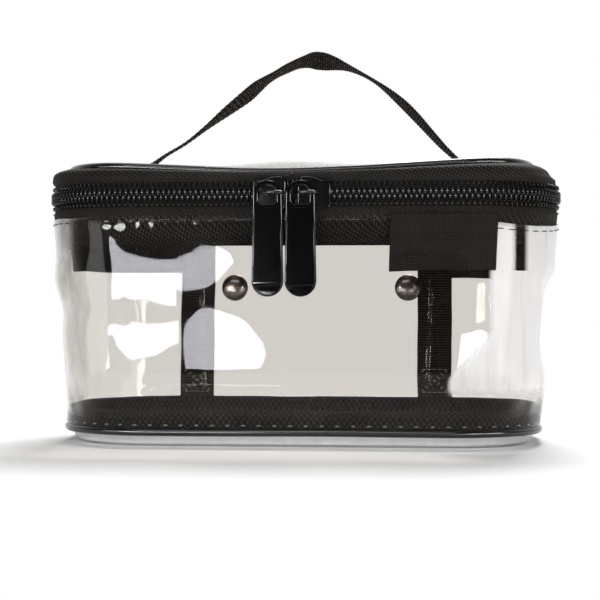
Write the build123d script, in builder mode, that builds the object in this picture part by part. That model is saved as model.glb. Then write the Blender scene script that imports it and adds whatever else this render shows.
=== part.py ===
"""Clear zip toiletry bag with a hinged lid, two zip sliders and a webbing handle.

Millimetres. X runs from left to right, Y from front to back, and Z up from the surface
that the bag stands on. The origin is the middle of the base.
"""

import os

from build123d import *

# Outline of the zip tape's outer face, round the top and at the base seam
top_width = 242.0
top_depth = 114.0
top_corner = 43.0
base_width = 221.0
base_depth = 101.0
base_corner = 38.0

# Heights of the base seam and of the zip, and what lies above and below the zip
seam_height = 6.0
zip_height = 117.0
wall_top_drop = 10.0
bend_rise = 3.2
lid_seam_rise = 2.8

# How far the lid's edge is drawn in at the bend and at its piping
bend_inset = 3.5
lid_inset = 8.4

# Sheet materials
film = 0.6
fabric = 0.8
tape = 0.6
binding = 0.6
flange = 0.5
fit_gap = 0.1

# Piping round the base and round the lid
piping_diameter = 3.8
piping_sides = 6
base_piping_outset = 0.7

# Seam at the base: the binding folds over the piping's flange and the panel's edge
base_seam_depth = 8.0
base_binding_reach = 3.0
panel_flare = 5.4

# Bands under the zip: how far each reaches down, and how far above or below the clear
# wall's top edge it starts
zip_band_width = 11.3
zip_band_overlap = 1.8
inner_band_width = 12.0
inner_band_drop = 1.0
inner_band_notch = 4.0
corner_band_width = 22.5
corner_band_drop = 4.5
corner_band_front_reach = 4.0

# Zip: two tapes, and a row of teeth on the outer face of each
tape_gap = 3.0
tape_width = 12.5
tape_tuck = 4.0
upper_tape_seam = 2.0
tooth_pitch = 2.5
tooth_width = 1.15
tooth_depth = 2.0
row_half_width = 4.9
tooth_overlap = 0.7

# Sliders, which meet at the front
meeting_x = -1.5
slider_nose = 2.85
slider_length = 14.8
slider_plate = 1.2
slider_wall = 0.8
slider_clearance = 0.3
row_parting = 1.9
parting_end = 8.3
meshing_start = 14.0
nose_chamfer = 2.2
neck_start = 3.4
neck_end = 7.8
neck_thickness = 1.6
neck_tip = 0.4

# Bail on each slider, a bar along the zip that the pull's eye hangs on
bail_start = 2.9
bail_length = 9.4
bail_height = 2.0
bail_bar = 1.3
bail_foot = 0.9
bail_window = 3.2
bail_rise = 0.4

# Pulls: how far the eye's arch stands above the zip's middle, and lengths down from there
pull_rise = 6.0
pull_length = 53.0
pull_step_drop = 12.5
eye_length = 10.8
pull_top_width = 12.9
pull_end_width = 14.7
pull_plate = 1.8
pull_relief = 0.5
pull_leg = 2.1
eye_corner = 1.2
pull_edge_round = 0.35
bevel_depth = 0.45
bevel_width = 3.6
left_leg_x = -6.9
right_leg_x = 8.15

# Straps on the back, over the seams between the side wall and the back wall
strap_width = 18.0
strap_thickness = 1.5
strap_margin = 6.0
strap_lift = 0.4
strap_drop = 1.0

# Press studs through the back wall, each by its distance from the middle of its strap
left_snap_gap = 20.0
right_snap_gap = 14.0
snap_height = 75.0
cap_diameter = 14.0
cap_rise = 2.7
dome_bend_radius = 4.4
dome_bend_rise = 2.0
post_diameter = 3.6
post_length = 2.2
stud_flange_diameter = 9.4
stud_flange = 0.9
stud_diameter = 6.4
stud_rise = 3.0

# Bare woven label, sewn over the clear wall's top edge
label_inset = 29.0
label_width = 48.5
label_length = 26.0
label_overlap = 1.0

# Seam inside the lid
gusset_drop = 1.15
lid_edge_depth = 6.7
lid_bind_reach = 2.6

# Fabric hinge across the back
hinge_margin = 2.5
hinge_drop = 0.7
hinge_seam = 1.8

# Handle: one webbing, sewn flat to the lid at both ends
webbing_width = 15.0
webbing_thickness = 1.6
patch_length = 22.0
patch_width = 22.0
left_patch_inset = 38.0
right_patch_inset = 39.5
patch_corner = 3.0
left_sewn_end = 9.0
left_foot_bend = 6.2
right_sewn_end = 9.5
right_foot_bend = 4.5
foot_rise = 12.0
arch_outline = ((-3.5, 54.5), (15.0, 53.5), (48.5, 31.0))
arch_radii = (30.0, 24.0, 30.0, 90.0, 20.0)

os.makedirs("parts", exist_ok=True)

half_depth = top_depth / 2
pipe_radius = piping_diameter / 2

# Half the height of a slider, at its rear and at its wider nose
rear_half = row_half_width + slider_clearance + slider_wall
shoulder_half = rear_half + row_parting

# Heights that follow from the driving sizes
wall_bottom = seam_height + pipe_radius + fit_gap
wall_top = zip_height - wall_top_drop
zip_band_top = wall_top + zip_band_overlap
inner_band_top = wall_top - inner_band_drop
inner_band_bottom = inner_band_top - inner_band_width
corner_band_top = wall_top - corner_band_drop
shoulder_height = zip_height + shoulder_half + slider_clearance
bend_height = shoulder_height + bend_rise
lid_seam_height = bend_height + lid_seam_rise

# The outline's straight runs end here
straight_x = top_width / 2 - top_corner
straight_y = half_depth - top_corner

# Middle of each strap, and of each press stud
strap_x = straight_x - strap_margin - strap_width / 2
left_snap_x = left_snap_gap - strap_x
right_snap_x = strap_x - right_snap_gap


def save(name, part):
    """Label a finished piece and write its file."""
    part.label = name
    export_step(part, f"parts/{name}.step")


# The bag's outline changes with height: tapered below the zip, upright at the zip, and
# drawn in over the lid's edge.
stations = (
    (seam_height, base_width, base_depth, base_corner),
    (zip_band_top, top_width, top_depth, top_corner),
    (shoulder_height, top_width, top_depth, top_corner),
    (
        bend_height,
        top_width - 2 * bend_inset,
        top_depth - 2 * bend_inset,
        top_corner - bend_inset,
    ),
    (
        lid_seam_height,
        top_width - 2 * lid_inset,
        top_depth - 2 * lid_inset,
        top_corner - lid_inset,
    ),
)


def outline_at(height):
    """Width, depth and corner radius of the outline at a height."""
    for low, high in zip(stations, stations[1:]):
        if height <= high[0]:
            share = max(0.0, (height - low[0]) / (high[0] - low[0]))
            return [a + (b - a) * share for a, b in zip(low[1:], high[1:])]
    return stations[-1][1:]


def section(height, outset):
    """Outline at a height, grown outwards by outset."""
    width, depth, corner = outline_at(height)
    with BuildSketch(Plane.XY.offset(height)) as shape:
        RectangleRounded(width + 2 * outset, depth + 2 * outset, corner + outset)
    return shape.sketch


def layer_heights(bottom, top):
    """The bottom, each height between where the outline bends, and the top."""
    return [bottom] + [s[0] for s in stations if bottom < s[0] < top] + [top]


def layer(outer, inner, bottom, top):
    """Ring of sheet that follows the outline, in the current part."""
    for outset, mode in ((outer, Mode.ADD), (inner, Mode.SUBTRACT)):
        heights = layer_heights(bottom, top)
        loft([section(h, outset) for h in heights], ruled=True, mode=mode)


def block(low, high, mode):
    """Box from its low corner to its high corner, in the current part."""
    size = [b - a for a, b in zip(low, high)]
    middle = [(a + b) / 2 for a, b in zip(low, high)]
    with Locations(Location(middle)):
        Box(*size, mode=mode)


# Reach of the boxes that keep or cut one side of a ring
far = top_width
tall = lid_seam_height + top_depth


def back_block(half_width, bottom, top, mode):
    """Box over the back run of a ring."""
    block((-half_width, 0, bottom), (half_width, far, top), mode)


# Clear walls: the side wall runs round the front and both sides, and the back wall is a
# sheet of its own. The two meet under the straps.
wall_inner = fabric
wall_outer = fabric + film

with BuildPart() as side_wall:
    layer(wall_outer, wall_inner, wall_bottom, wall_top)
    back_block(strap_x, 0, tall, Mode.SUBTRACT)
save("side_wall", side_wall.part)


# Press studs stand square on the sloping back wall
def back_face(height, outset):
    """Y of the back of the outline at a height."""
    return outline_at(height)[1] / 2 + outset


wall_slope = (top_depth - base_depth) / 2 / (zip_band_top - seam_height)
into_bag = Vector(0, -1, wall_slope).normalized()


def stud_plane(x, outset):
    """Plane through a press stud's axis: local x is the radius, local y points inwards."""
    origin = (x, back_face(snap_height, outset), snap_height)
    return Plane(origin=origin, x_dir=(1, 0, 0), z_dir=Vector(1, 0, 0).cross(into_bag))


snap_places = (left_snap_x, right_snap_x)
post_radius = post_diameter / 2

with BuildPart() as back_wall:
    layer(wall_outer, wall_inner, wall_bottom, wall_top)
    back_block(strap_x, 0, tall, Mode.INTERSECT)
    for snap_x in snap_places:
        hole_plane = Plane(
            origin=(snap_x, back_face(snap_height, wall_inner), snap_height), z_dir=into_bag
        )
        with BuildSketch(hole_plane):
            Circle(post_radius + fit_gap)
    extrude(amount=cap_rise, both=True, mode=Mode.SUBTRACT)
save("back_wall", back_wall.part)

with BuildPart() as snap_caps:
    for snap_x in snap_places:
        with BuildSketch(stud_plane(snap_x, wall_inner)):
            Polygon(
                (0, cap_rise),
                (0, -post_length),
                (post_radius, -post_length),
                (post_radius, 0),
                (cap_diameter / 2, 0),
                (dome_bend_radius, dome_bend_rise),
                align=None,
            )
        revolve(axis=Axis((snap_x, back_face(snap_height, wall_inner), snap_height), into_bag))
save("snap_caps", snap_caps.part)

with BuildPart() as snap_studs:
    for snap_x in snap_places:
        with BuildSketch(stud_plane(snap_x, wall_outer)):
            Polygon(
                (post_radius + fit_gap, 0),
                (stud_flange_diameter / 2, 0),
                (stud_flange_diameter / 2, -stud_flange),
                (stud_diameter / 2, -stud_flange),
                (stud_diameter / 2, -stud_rise),
                (0, -stud_rise),
                (0, -post_length),
                (post_radius + fit_gap, -post_length),
                align=None,
            )
        revolve(axis=Axis((snap_x, back_face(snap_height, wall_outer), snap_height), into_bag))
save("snap_studs", snap_studs.part)

# Straps lie on the outside of the back wall and follow its slope
strap_bottom = wall_bottom + strap_lift
strap_top = wall_top - strap_drop
for side, sign in (("left", -1), ("right", 1)):
    with BuildPart() as back_strap:
        with BuildSketch(Plane.YZ.offset(sign * strap_x)) as strap_profile:
            with BuildLine():
                Polyline(
                    (back_face(strap_bottom, wall_outer), strap_bottom),
                    (back_face(strap_bottom, wall_outer + strap_thickness), strap_bottom),
                    (back_face(strap_top, wall_outer + strap_thickness), strap_top),
                    (back_face(strap_top, wall_outer), strap_top),
                    close=True,
                )
            make_face()
        extrude(amount=strap_width / 2, both=True)
    save(f"{side}_back_strap", back_strap.part)

# Base seam, from the outside in: binding, piping flange, panel edge, binding
base_seam_top = seam_height + base_seam_depth
base_binding_top = base_seam_top + base_binding_reach
flange_outer = fit_gap
flange_inner = flange_outer - flange
edge_inner = flange_inner - film
bind_outer = flange_outer + binding
bind_inner = edge_inner - binding


def ring_path(height, width, depth, corner):
    """Closed path round a rounded rectangle."""
    with BuildSketch(Plane.XY.offset(height)) as shape:
        RectangleRounded(width, depth, corner)
    return shape.sketch.face().outer_wire()


base_path = ring_path(
    seam_height,
    base_width + 2 * base_piping_outset,
    base_depth + 2 * base_piping_outset,
    base_corner + base_piping_outset,
)
with BuildPart() as base_piping:
    layer(flange_outer, flange_inner, seam_height, base_seam_top)
    with BuildSketch(base_path ^ 0) as cord_section:
        RegularPolygon(pipe_radius, piping_sides)
    sweep(path=base_path)
save("base_piping", base_piping.part)

# Base panel: a shallow clear tray with a flat bottom, whose edge passes inside the piping
edge_start = wall_bottom + fit_gap
panel_profile = (
    (0.0, flange_inner - panel_flare),
    (edge_start, flange_inner),
    (base_seam_top, flange_inner),
)
with BuildPart() as base_panel:
    loft([section(h, o) for h, o in panel_profile], ruled=True)
    loft(
        [section(max(h, film), o - film) for h, o in panel_profile],
        ruled=True,
        mode=Mode.SUBTRACT,
    )
save("base_panel", base_panel.part)

with BuildPart() as seam_core:
    layer(flange_outer, edge_inner, edge_start, base_binding_top - binding)

with BuildPart() as base_binding:
    layer(bind_outer, bind_inner, edge_start, base_binding_top)
    add(seam_core.part, mode=Mode.SUBTRACT)
save("base_binding", base_binding.part)

# Bands behind the clear wall's top edge
with BuildPart() as lower_zip_band:
    layer(fabric, 0, zip_band_top - zip_band_width, zip_band_top)
save("lower_zip_band", lower_zip_band.part)

band_inner = -fabric
with BuildPart() as inner_top_band:
    layer(band_inner, band_inner - fabric, inner_band_bottom, inner_band_top)
    back_block(strap_x, 0, inner_band_bottom + inner_band_notch, Mode.SUBTRACT)
save("inner_top_band", inner_top_band.part)

strap_outer_x = strap_x + strap_width / 2
for side, sign in (("left", -1), ("right", 1)):
    with BuildPart() as corner_band:
        layer(0, band_inner, corner_band_top - corner_band_width, corner_band_top)
        near, away = sorted((sign * strap_outer_x, sign * far))
        block((near, corner_band_front_reach, 0), (away, far, tall), Mode.INTERSECT)
    save(f"{side}_corner_band", corner_band.part)

# The fabric hinge spans the back's straight run, and the zip tapes end under it
hinge_half = straight_x - hinge_margin
tape_end = hinge_half - tape_tuck
teeth_end = hinge_half + slider_clearance
lower_tape_top = zip_height - tape_gap / 2
upper_tape_bottom = zip_height + tape_gap / 2
with BuildPart() as lower_zip_tape:
    layer(0, -tape, lower_tape_top - tape_width, lower_tape_top)
    back_block(tape_end, 0, tall, Mode.SUBTRACT)
save("lower_zip_tape", lower_zip_tape.part)

with BuildPart() as upper_zip_tape:
    layer(0, -tape, upper_tape_bottom, shoulder_height + upper_tape_seam)
    back_block(tape_end, 0, tall, Mode.SUBTRACT)
save("upper_zip_tape", upper_zip_tape.part)

# Teeth: one ridge for each turn of the coil, on the tape's outer face all round the zip
with BuildLine(Plane.XY.offset(zip_height)) as zip_line:
    Line((-teeth_end, half_depth), (-straight_x, half_depth))
    CenterArc((-straight_x, straight_y), top_corner, 90, 90)
    Line((-top_width / 2, straight_y), (-top_width / 2, -straight_y))
    CenterArc((-straight_x, -straight_y), top_corner, 180, 90)
    Line((-straight_x, -half_depth), (straight_x, -half_depth))
    CenterArc((straight_x, -straight_y), top_corner, 270, 90)
    Line((top_width / 2, -straight_y), (top_width / 2, straight_y))
    CenterArc((straight_x, straight_y), top_corner, 0, 90)
    Line((straight_x, half_depth), (teeth_end, half_depth))
zip_wire = zip_line.wires()[0]
zip_steps = int(zip_wire.length / tooth_pitch) - 1

# The first pair of teeth, and half the step between the two rows, in pitches
row_start = 0.75
row_stagger = 0.25
tooth_length = row_half_width + tooth_overlap


def parting(distance):
    """How far each row is pushed away from the zip's middle, by distance from the meeting."""
    share = (meshing_start - distance) / (meshing_start - parting_end)
    return row_parting * min(1.0, max(0.0, share))


def tooth_plane(step, side):
    """Plane at one tooth's lower end: side is 1 for the upper row and -1 for the lower row."""
    along = (step + row_start + side * row_stagger) * tooth_pitch
    point = zip_wire.position_at(along, position_mode=PositionMode.LENGTH)
    tangent = zip_wire.tangent_at(along, position_mode=PositionMode.LENGTH)
    middle = side * (row_half_width - tooth_overlap) / 2
    if point.Y < 0:
        middle += side * parting(abs(point.X - meeting_x))
    origin = point + Vector(0, 0, middle - tooth_length / 2)
    return Plane(origin=origin, x_dir=tangent, z_dir=(0, 0, 1))


for name, side in (("zip_teeth_lower", -1), ("zip_teeth_upper", 1)):
    with BuildPart() as zip_teeth:
        with BuildSketch(*[tooth_plane(step, side) for step in range(zip_steps)]):
            Polygon((-tooth_width / 2, 0), (tooth_width / 2, 0), (0, -tooth_depth), align=None)
        extrude(amount=tooth_length)
    save(name, zip_teeth.part)

# Sliders: a front plate and a back plate joined by a neck at the nose, with flanges that
# fold round the two rows, and a bail. Both are the same piece, turned to face each other.
slider_rear = slider_nose + slider_length
plate_inner = half_depth + tooth_depth + slider_clearance
plate_outer = plate_inner + slider_plate
back_plate_face = half_depth - tape - slider_clearance
flange_tip = half_depth + slider_clearance
bail_height_middle = zip_height + bail_rise


def mirrored_outline(side, half_points):
    """Closed polygon from points of one half: distance from the meeting, half width."""
    upper = [(meeting_x + side * s, zip_height + h) for s, h in half_points]
    lower = [(meeting_x + side * s, zip_height - h) for s, h in reversed(half_points)]
    return upper + lower


plate_points = (
    (slider_nose, shoulder_half - nose_chamfer),
    (slider_nose + nose_chamfer, shoulder_half),
    (parting_end, shoulder_half),
    (meshing_start, rear_half),
    (slider_rear, rear_half),
)
channel_points = (
    (slider_nose - slider_plate, shoulder_half - slider_wall),
    (parting_end, shoulder_half - slider_wall),
    (meshing_start, rear_half - slider_wall),
    (slider_rear + slider_plate, rear_half - slider_wall),
)
neck_points = (
    (neck_start, neck_thickness / 2),
    ((neck_start + neck_end) / 2, neck_thickness / 2),
    (neck_end, neck_tip / 2),
)


def plate_sketch(distance, side, points):
    """Face on an upright plane at a distance in front of the bag's middle."""
    with BuildSketch(Plane.XZ.offset(distance)) as shape:
        Polygon(*mirrored_outline(side, points), align=None)
    return shape.sketch


for name, side in (("left_slider", -1), ("right_slider", 1)):
    with BuildPart() as slider:
        extrude(plate_sketch(flange_tip, side, plate_points), amount=plate_outer - flange_tip)
        extrude(
            plate_sketch(flange_tip, side, channel_points),
            amount=plate_inner - flange_tip,
            mode=Mode.SUBTRACT,
        )
        extrude(
            plate_sketch(back_plate_face - slider_plate, side, plate_points),
            amount=slider_plate,
        )
        extrude(
            plate_sketch(back_plate_face, side, neck_points),
            amount=plate_inner - back_plate_face,
        )
        bail_low, bail_high = sorted(
            meeting_x + side * s for s in (bail_start, bail_start + bail_length)
        )
        bail_front = plate_outer + bail_window + bail_bar
        block(
            (bail_low, -bail_front, bail_height_middle - bail_height / 2),
            (bail_high, -plate_outer, bail_height_middle + bail_height / 2),
            Mode.ADD,
        )
        bail_edges = slider.edges().filter_by(Axis.Z).group_by(Axis.Y)[0]
        chamfer(bail_edges, length=bail_foot)
        block(
            (
                bail_low + bail_foot,
                -plate_outer - bail_window,
                bail_height_middle - bail_height,
            ),
            (bail_high - bail_foot, -plate_outer, bail_height_middle + bail_height),
            Mode.SUBTRACT,
        )
    save(name, slider.part)

# Pulls: a long plate with an arched eye, whose right leg stands in the bail's window
pull_middle = plate_outer + bail_window / 2
pull_back = pull_middle - pull_plate / 2
pull_top = zip_height + pull_rise
pull_end = pull_top - pull_length
pull_step = pull_top - pull_step_drop
eye_bottom = pull_top - eye_length
end_radius = pull_end_width / 2
eye_radius = pull_top_width / 2 - pull_leg
arch_height = pull_top - pull_top_width / 2

for name, leg_x in (("left_pull", left_leg_x), ("right_pull", right_leg_x)):
    pull_x = leg_x + pull_leg / 2 - pull_top_width / 2
    with BuildPart() as pull:
        with BuildSketch(Plane.XZ.offset(pull_back)) as pull_outline:
            with BuildLine():
                Line(
                    (pull_x - pull_top_width / 2, arch_height),
                    (pull_x - end_radius, pull_end + end_radius),
                )
                CenterArc((pull_x, pull_end + end_radius), end_radius, 180, 180)
                Line(
                    (pull_x + end_radius, pull_end + end_radius),
                    (pull_x + pull_top_width / 2, arch_height),
                )
                CenterArc((pull_x, arch_height), pull_top_width / 2, 0, 180)
            make_face()
        extrude(amount=pull_plate)
        with BuildSketch(Plane.XZ.offset(pull_back)) as pull_eye:
            with BuildLine():
                FilletPolyline(
                    (pull_x - eye_radius, arch_height),
                    (pull_x - eye_radius, eye_bottom),
                    (pull_x + eye_radius, eye_bottom),
                    (pull_x + eye_radius, arch_height),
                    radius=eye_corner,
                )
                CenterArc((pull_x, arch_height), eye_radius, 0, 180)
            make_face()
        extrude(amount=pull_plate, mode=Mode.SUBTRACT)
        rim = pull.faces().sort_by(Axis.Y)[0].outer_wire().edges()
        chamfer(rim, length=pull_edge_round)
        with BuildSketch(Plane.XZ.offset(pull_back + pull_plate)) as grip_outline:
            with BuildLine():
                Polyline(
                    (pull_x - pull_top_width / 2 + pull_edge_round, pull_step),
                    (pull_x - end_radius + pull_edge_round, pull_end + end_radius),
                )
                CenterArc(
                    (pull_x, pull_end + end_radius), end_radius - pull_edge_round, 180, 180
                )
                Polyline(
                    (pull_x + end_radius - pull_edge_round, pull_end + end_radius),
                    (pull_x + pull_top_width / 2 - pull_edge_round, pull_step),
                    (pull_x - pull_top_width / 2 + pull_edge_round, pull_step),
                )
            make_face()
        extrude(amount=pull_relief)
        end_edges = pull.edges().filter_by(GeomType.CIRCLE).group_by(Axis.Y)[0]
        chamfer(end_edges, length=bevel_depth, length2=bevel_width)
    save(name, pull.part)

label_outer = wall_outer + fabric
label_right = top_width / 2 - label_inset
label_top = wall_top + label_overlap
with BuildPart() as label_tab:
    layer(label_outer, wall_outer, label_top - label_length, label_top)
    block((label_right - label_width, -far, 0), (label_right, 0, tall), Mode.INTERSECT)
save("label_tab", label_tab.part)

# Fabric hinge, over the band below the zip and the lid's gusset above it
hinge_inner = wall_outer
with BuildPart() as hinge_panel:
    layer(
        hinge_inner + fabric,
        hinge_inner,
        wall_top - hinge_drop,
        shoulder_height + hinge_seam,
    )
    back_block(hinge_half, 0, tall, Mode.INTERSECT)
save("hinge_panel", hinge_panel.part)

# Lid: a fabric gusset, piping, and a clear panel whose edge is bound inside
with BuildPart() as lid_gusset:
    layer(fabric, 0, shoulder_height, lid_seam_height - gusset_drop)
save("lid_gusset", lid_gusset.part)


def upright_disc(inset, bottom, top, mode):
    """Upright rounded block inside the lid's outline, in the current part."""
    with BuildSketch(Plane.XY.offset(bottom)) as shape:
        RectangleRounded(top_width - 2 * inset, top_depth - 2 * inset, top_corner - inset)
    extrude(shape.sketch, amount=top - bottom, mode=mode)


# Lid seam, from the outside in: binding, piping flange, panel edge, binding
lid_top = lid_seam_height + film
lid_edge_bottom = lid_seam_height - lid_edge_depth
panel_inset = lid_inset + pipe_radius + fit_gap
flange_inset = panel_inset - fit_gap - flange
lid_bind_outset = flange_inset - fit_gap - binding
lid_bind_inset = panel_inset + film + fit_gap

lid_path = ring_path(
    lid_seam_height,
    top_width - 2 * lid_inset,
    top_depth - 2 * lid_inset,
    top_corner - lid_inset,
)
with BuildPart() as lid_piping:
    upright_disc(flange_inset, lid_edge_bottom, lid_seam_height, Mode.ADD)
    upright_disc(flange_inset + flange, lid_edge_bottom, lid_seam_height, Mode.SUBTRACT)
    with BuildSketch(lid_path ^ 0) as cord_section:
        RegularPolygon(pipe_radius, piping_sides)
    sweep(path=lid_path)
save("lid_piping", lid_piping.part)

with BuildPart() as lid_panel:
    upright_disc(panel_inset, lid_edge_bottom, lid_top, Mode.ADD)
    upright_disc(panel_inset + film, lid_edge_bottom, lid_top - film, Mode.SUBTRACT)
save("lid_panel", lid_panel.part)

lid_bind_bottom = lid_edge_bottom - lid_bind_reach
with BuildPart() as lid_binding:
    upright_disc(lid_bind_outset, lid_bind_bottom, lid_seam_height - pipe_radius, Mode.ADD)
    upright_disc(
        lid_bind_outset + binding, lid_bind_bottom + binding, lid_seam_height, Mode.SUBTRACT
    )
    upright_disc(lid_bind_inset, lid_bind_bottom, lid_top - film - fit_gap, Mode.ADD)
    upright_disc(lid_bind_inset + binding, lid_bind_bottom, lid_seam_height, Mode.SUBTRACT)
save("lid_binding", lid_binding.part)

# Handle: the webbing's sewn ends lie flat on patches, and it stands up in one arch
handle_base = lid_top + fabric + webbing_thickness / 2
left_patch_x = left_patch_inset - top_width / 2
right_patch_x = top_width / 2 - right_patch_inset
arch_points = [
    (left_patch_x - left_sewn_end, handle_base),
    (left_patch_x + left_foot_bend, handle_base),
    *[(x, handle_base + rise) for x, rise in arch_outline],
    (right_patch_x - right_foot_bend, handle_base),
    (right_patch_x + right_sewn_end, handle_base),
]
with BuildLine(Plane.XZ) as arch_line:
    FilletPolyline(*arch_points, radius=arch_radii)
arch_path = arch_line.wires()[0]


def webbing():
    """Whole webbing from one sewn end to the other, in the current part."""
    start = Plane(origin=arch_path @ 0, x_dir=(0, 1, 0), z_dir=arch_path % 0)
    with BuildSketch(start) as strip:
        Rectangle(webbing_width, webbing_thickness)
    sweep(strip.sketch, path=arch_path)


foot_plane = Plane.XY.offset(handle_base + foot_rise)
with BuildPart() as handle:
    webbing()
    split(bisect_by=foot_plane, keep=Keep.TOP)
save("handle", handle.part)

for side, sign, patch_x in (("left", -1, left_patch_x), ("right", 1, right_patch_x)):
    with BuildPart() as handle_foot:
        webbing()
        split(bisect_by=foot_plane, keep=Keep.BOTTOM)
        near, away = sorted((0, sign * far))
        block((near, -far, 0), (away, far, far), Mode.INTERSECT)
    save(f"{side}_handle_foot", handle_foot.part)

    with BuildPart() as handle_patch:
        block(
            (patch_x - patch_length / 2, -patch_width / 2, lid_top),
            (patch_x + patch_length / 2, patch_width / 2, lid_top + fabric),
            Mode.ADD,
        )
        chamfer(handle_patch.edges().filter_by(Axis.Z), length=patch_corner)
    save(f"{side}_handle_patch", handle_patch.part)
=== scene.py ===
"""Clear zip toiletry bag: the soft pieces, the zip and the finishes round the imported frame.

Shapes are worked out in millimetres, in the frame's own axes, and scaled to metres when a
piece is finished. X runs from left to right, Y from front to back and Z up.
"""

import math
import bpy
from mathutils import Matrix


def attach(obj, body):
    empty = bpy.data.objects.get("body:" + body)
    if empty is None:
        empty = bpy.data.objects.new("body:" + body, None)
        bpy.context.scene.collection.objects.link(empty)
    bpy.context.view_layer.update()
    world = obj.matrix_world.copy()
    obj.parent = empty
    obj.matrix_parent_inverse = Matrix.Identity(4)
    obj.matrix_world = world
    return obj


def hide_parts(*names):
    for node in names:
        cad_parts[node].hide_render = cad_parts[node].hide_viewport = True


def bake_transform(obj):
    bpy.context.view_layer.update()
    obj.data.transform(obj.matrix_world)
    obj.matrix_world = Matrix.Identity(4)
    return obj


bl_info = {
    "name": "Clear zip toiletry bag",
    "version": (1, 0, 0),
    "blender": (4, 5, 0),
    "location": "3D View > Sidebar > Toiletry Bag",
    "description": "Makes the film, fabric, zip and webbing of a clear toiletry bag",
    "category": "Add Mesh",
}

import bmesh
import bpy
from bpy.props import FloatProperty, FloatVectorProperty, IntProperty, PointerProperty
from mathutils import Matrix, Vector, noise

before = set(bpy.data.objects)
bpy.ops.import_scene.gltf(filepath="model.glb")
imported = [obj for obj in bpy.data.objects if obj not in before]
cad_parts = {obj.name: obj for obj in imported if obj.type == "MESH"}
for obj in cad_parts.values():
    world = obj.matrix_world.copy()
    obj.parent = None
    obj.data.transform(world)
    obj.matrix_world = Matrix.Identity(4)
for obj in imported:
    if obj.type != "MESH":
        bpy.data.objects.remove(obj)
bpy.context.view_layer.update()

TO_METRES = 0.001

# The bag's outline: height, width, depth and corner radius, as the frame has them
STATIONS = (
    (6.0, 221.0, 101.0, 38.0),
    (108.8, 242.0, 114.0, 43.0),
    (125.2, 242.0, 114.0, 43.0),
    (128.4, 235.0, 107.0, 39.5),
    (131.2, 225.2, 97.2, 34.6),
)
TOP_WIDTH, TOP_DEPTH, TOP_CORNER = STATIONS[1][1:]
STRAIGHT_X = TOP_WIDTH / 2 - TOP_CORNER
STRAIGHT_Y = TOP_DEPTH / 2 - TOP_CORNER
CORNER_RUN = TOP_CORNER * math.pi / 2
END_RUNS = (CORNER_RUN, 2 * STRAIGHT_Y, CORNER_RUN)
RUNS = (STRAIGHT_X, *END_RUNS, 2 * STRAIGHT_X, *END_RUNS, STRAIGHT_X)
GIRTH = sum(RUNS)
FRONT_MIDDLE = GIRTH / 2

# Heights, sizes and places of the pieces
FILM_BOTTOM, FILM_TOP = 8.0, 107.0
ZIP, LID_SEAM = 117.0, 131.2
PIPE_RADIUS = 1.9
FILM_OUTSET = 1.1
STRAP_X = 63.0
STRAP_WIDTH = 18.0
STRAP_FOOT, STRAP_TOP = 8.4, 106.0
STRAP_RIB = 1.35
STUDS_X, STUD_HEIGHT = (-43.0, 49.0), 75.0
LABEL_X, LABEL_Z = (43.5, 92.0), (82.0, 108.0)
MEETING_X = -1.5
BAG_MIDDLE = Vector((0.0, 0.0, 60.0))
UP = Vector((0.0, 0.0, 1.0))
WHITE = (1.0, 1.0, 1.0, 1.0)

# Distances from the middle of the back at which tape, coil and stitches begin and the hinge ends
TAPE_START, COIL_START, SEWN_START, HINGE_END = 71.5, 75.8, 76.0, 75.5


def outline_at(height):
    """Width, depth and corner radius of the outline at a height."""
    for low, high in zip(STATIONS, STATIONS[1:]):
        if height <= high[0]:
            share = max(0.0, (height - low[0]) / (high[0] - low[0]))
            return [a + (b - a) * share for a, b in zip(low[1:], high[1:])]
    return STATIONS[-1][1:]


def around(distance, height, outset=0.0):
    """Point on the outline and its outward direction.

    The distance starts at the middle of the back and runs by the left side, the front and
    the right side. It is measured round the top.
    """
    width, depth, corner = outline_at(height)
    flat_x, flat_y = width / 2 - corner, depth / 2 - corner
    rest = distance % GIRTH
    for run, length in enumerate(RUNS):
        if rest <= length:
            break
        rest -= length
    share = min(1.0, rest / length)
    sides = {
        0: ((-flat_x * share, flat_y), 90.0),
        1: ((-flat_x, flat_y), 90.0 + 90.0 * share),
        2: ((-flat_x, flat_y * (1 - 2 * share)), 180.0),
        3: ((-flat_x, -flat_y), 180.0 + 90.0 * share),
        4: ((flat_x * (2 * share - 1), -flat_y), 270.0),
        5: ((flat_x, -flat_y), 270.0 + 90.0 * share),
        6: ((flat_x, flat_y * (2 * share - 1)), 0.0),
        7: ((flat_x, flat_y), 90.0 * share),
        8: ((flat_x * (1 - share), flat_y), 90.0),
    }
    (x, y), angle = sides[run]
    outward = Vector((math.cos(math.radians(angle)), math.sin(math.radians(angle)), 0.0))
    return Vector((x, y, height)) + outward * (corner + outset), outward


def front_distance(x):
    """Distance round the outline of a place on the front."""
    return FRONT_MIDDLE + x


def ripple(point, size, seed):
    """Smooth noise from -1 to 1 over a length in millimetres."""
    return noise.noise(point / size + Vector((seed, 7.3 * seed, 2.1 * seed)))


def ripple_at(distance, height, size, seed):
    """Smooth noise by a distance along the piece and a height."""
    return ripple(Vector((distance, 0, height)), size, seed)


def hump(value, middle, reach):
    """1 at the middle, falling smoothly to nothing over the reach."""
    return math.exp(-(((value - middle) / reach) ** 2))


def ramp(value, low, high):
    """Smooth step from 0 to 1."""
    share = min(1.0, max(0.0, (value - low) / (high - low)))
    return share * share * (3 - 2 * share)


def foot_spread(outward, height):
    """How far the base's ends stand out, more at the left and less further up."""
    return (4.2 if outward.x < 0 else 1.6) * outward.x**4 * ramp(height, 34, 9)


def back_lean(height):
    """How far the back film leans in above the base seam."""
    return 1.4 * max(0.0, 1 - max(0.0, height - 22) / 34) * ramp(height, 17.5, 22)


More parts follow.
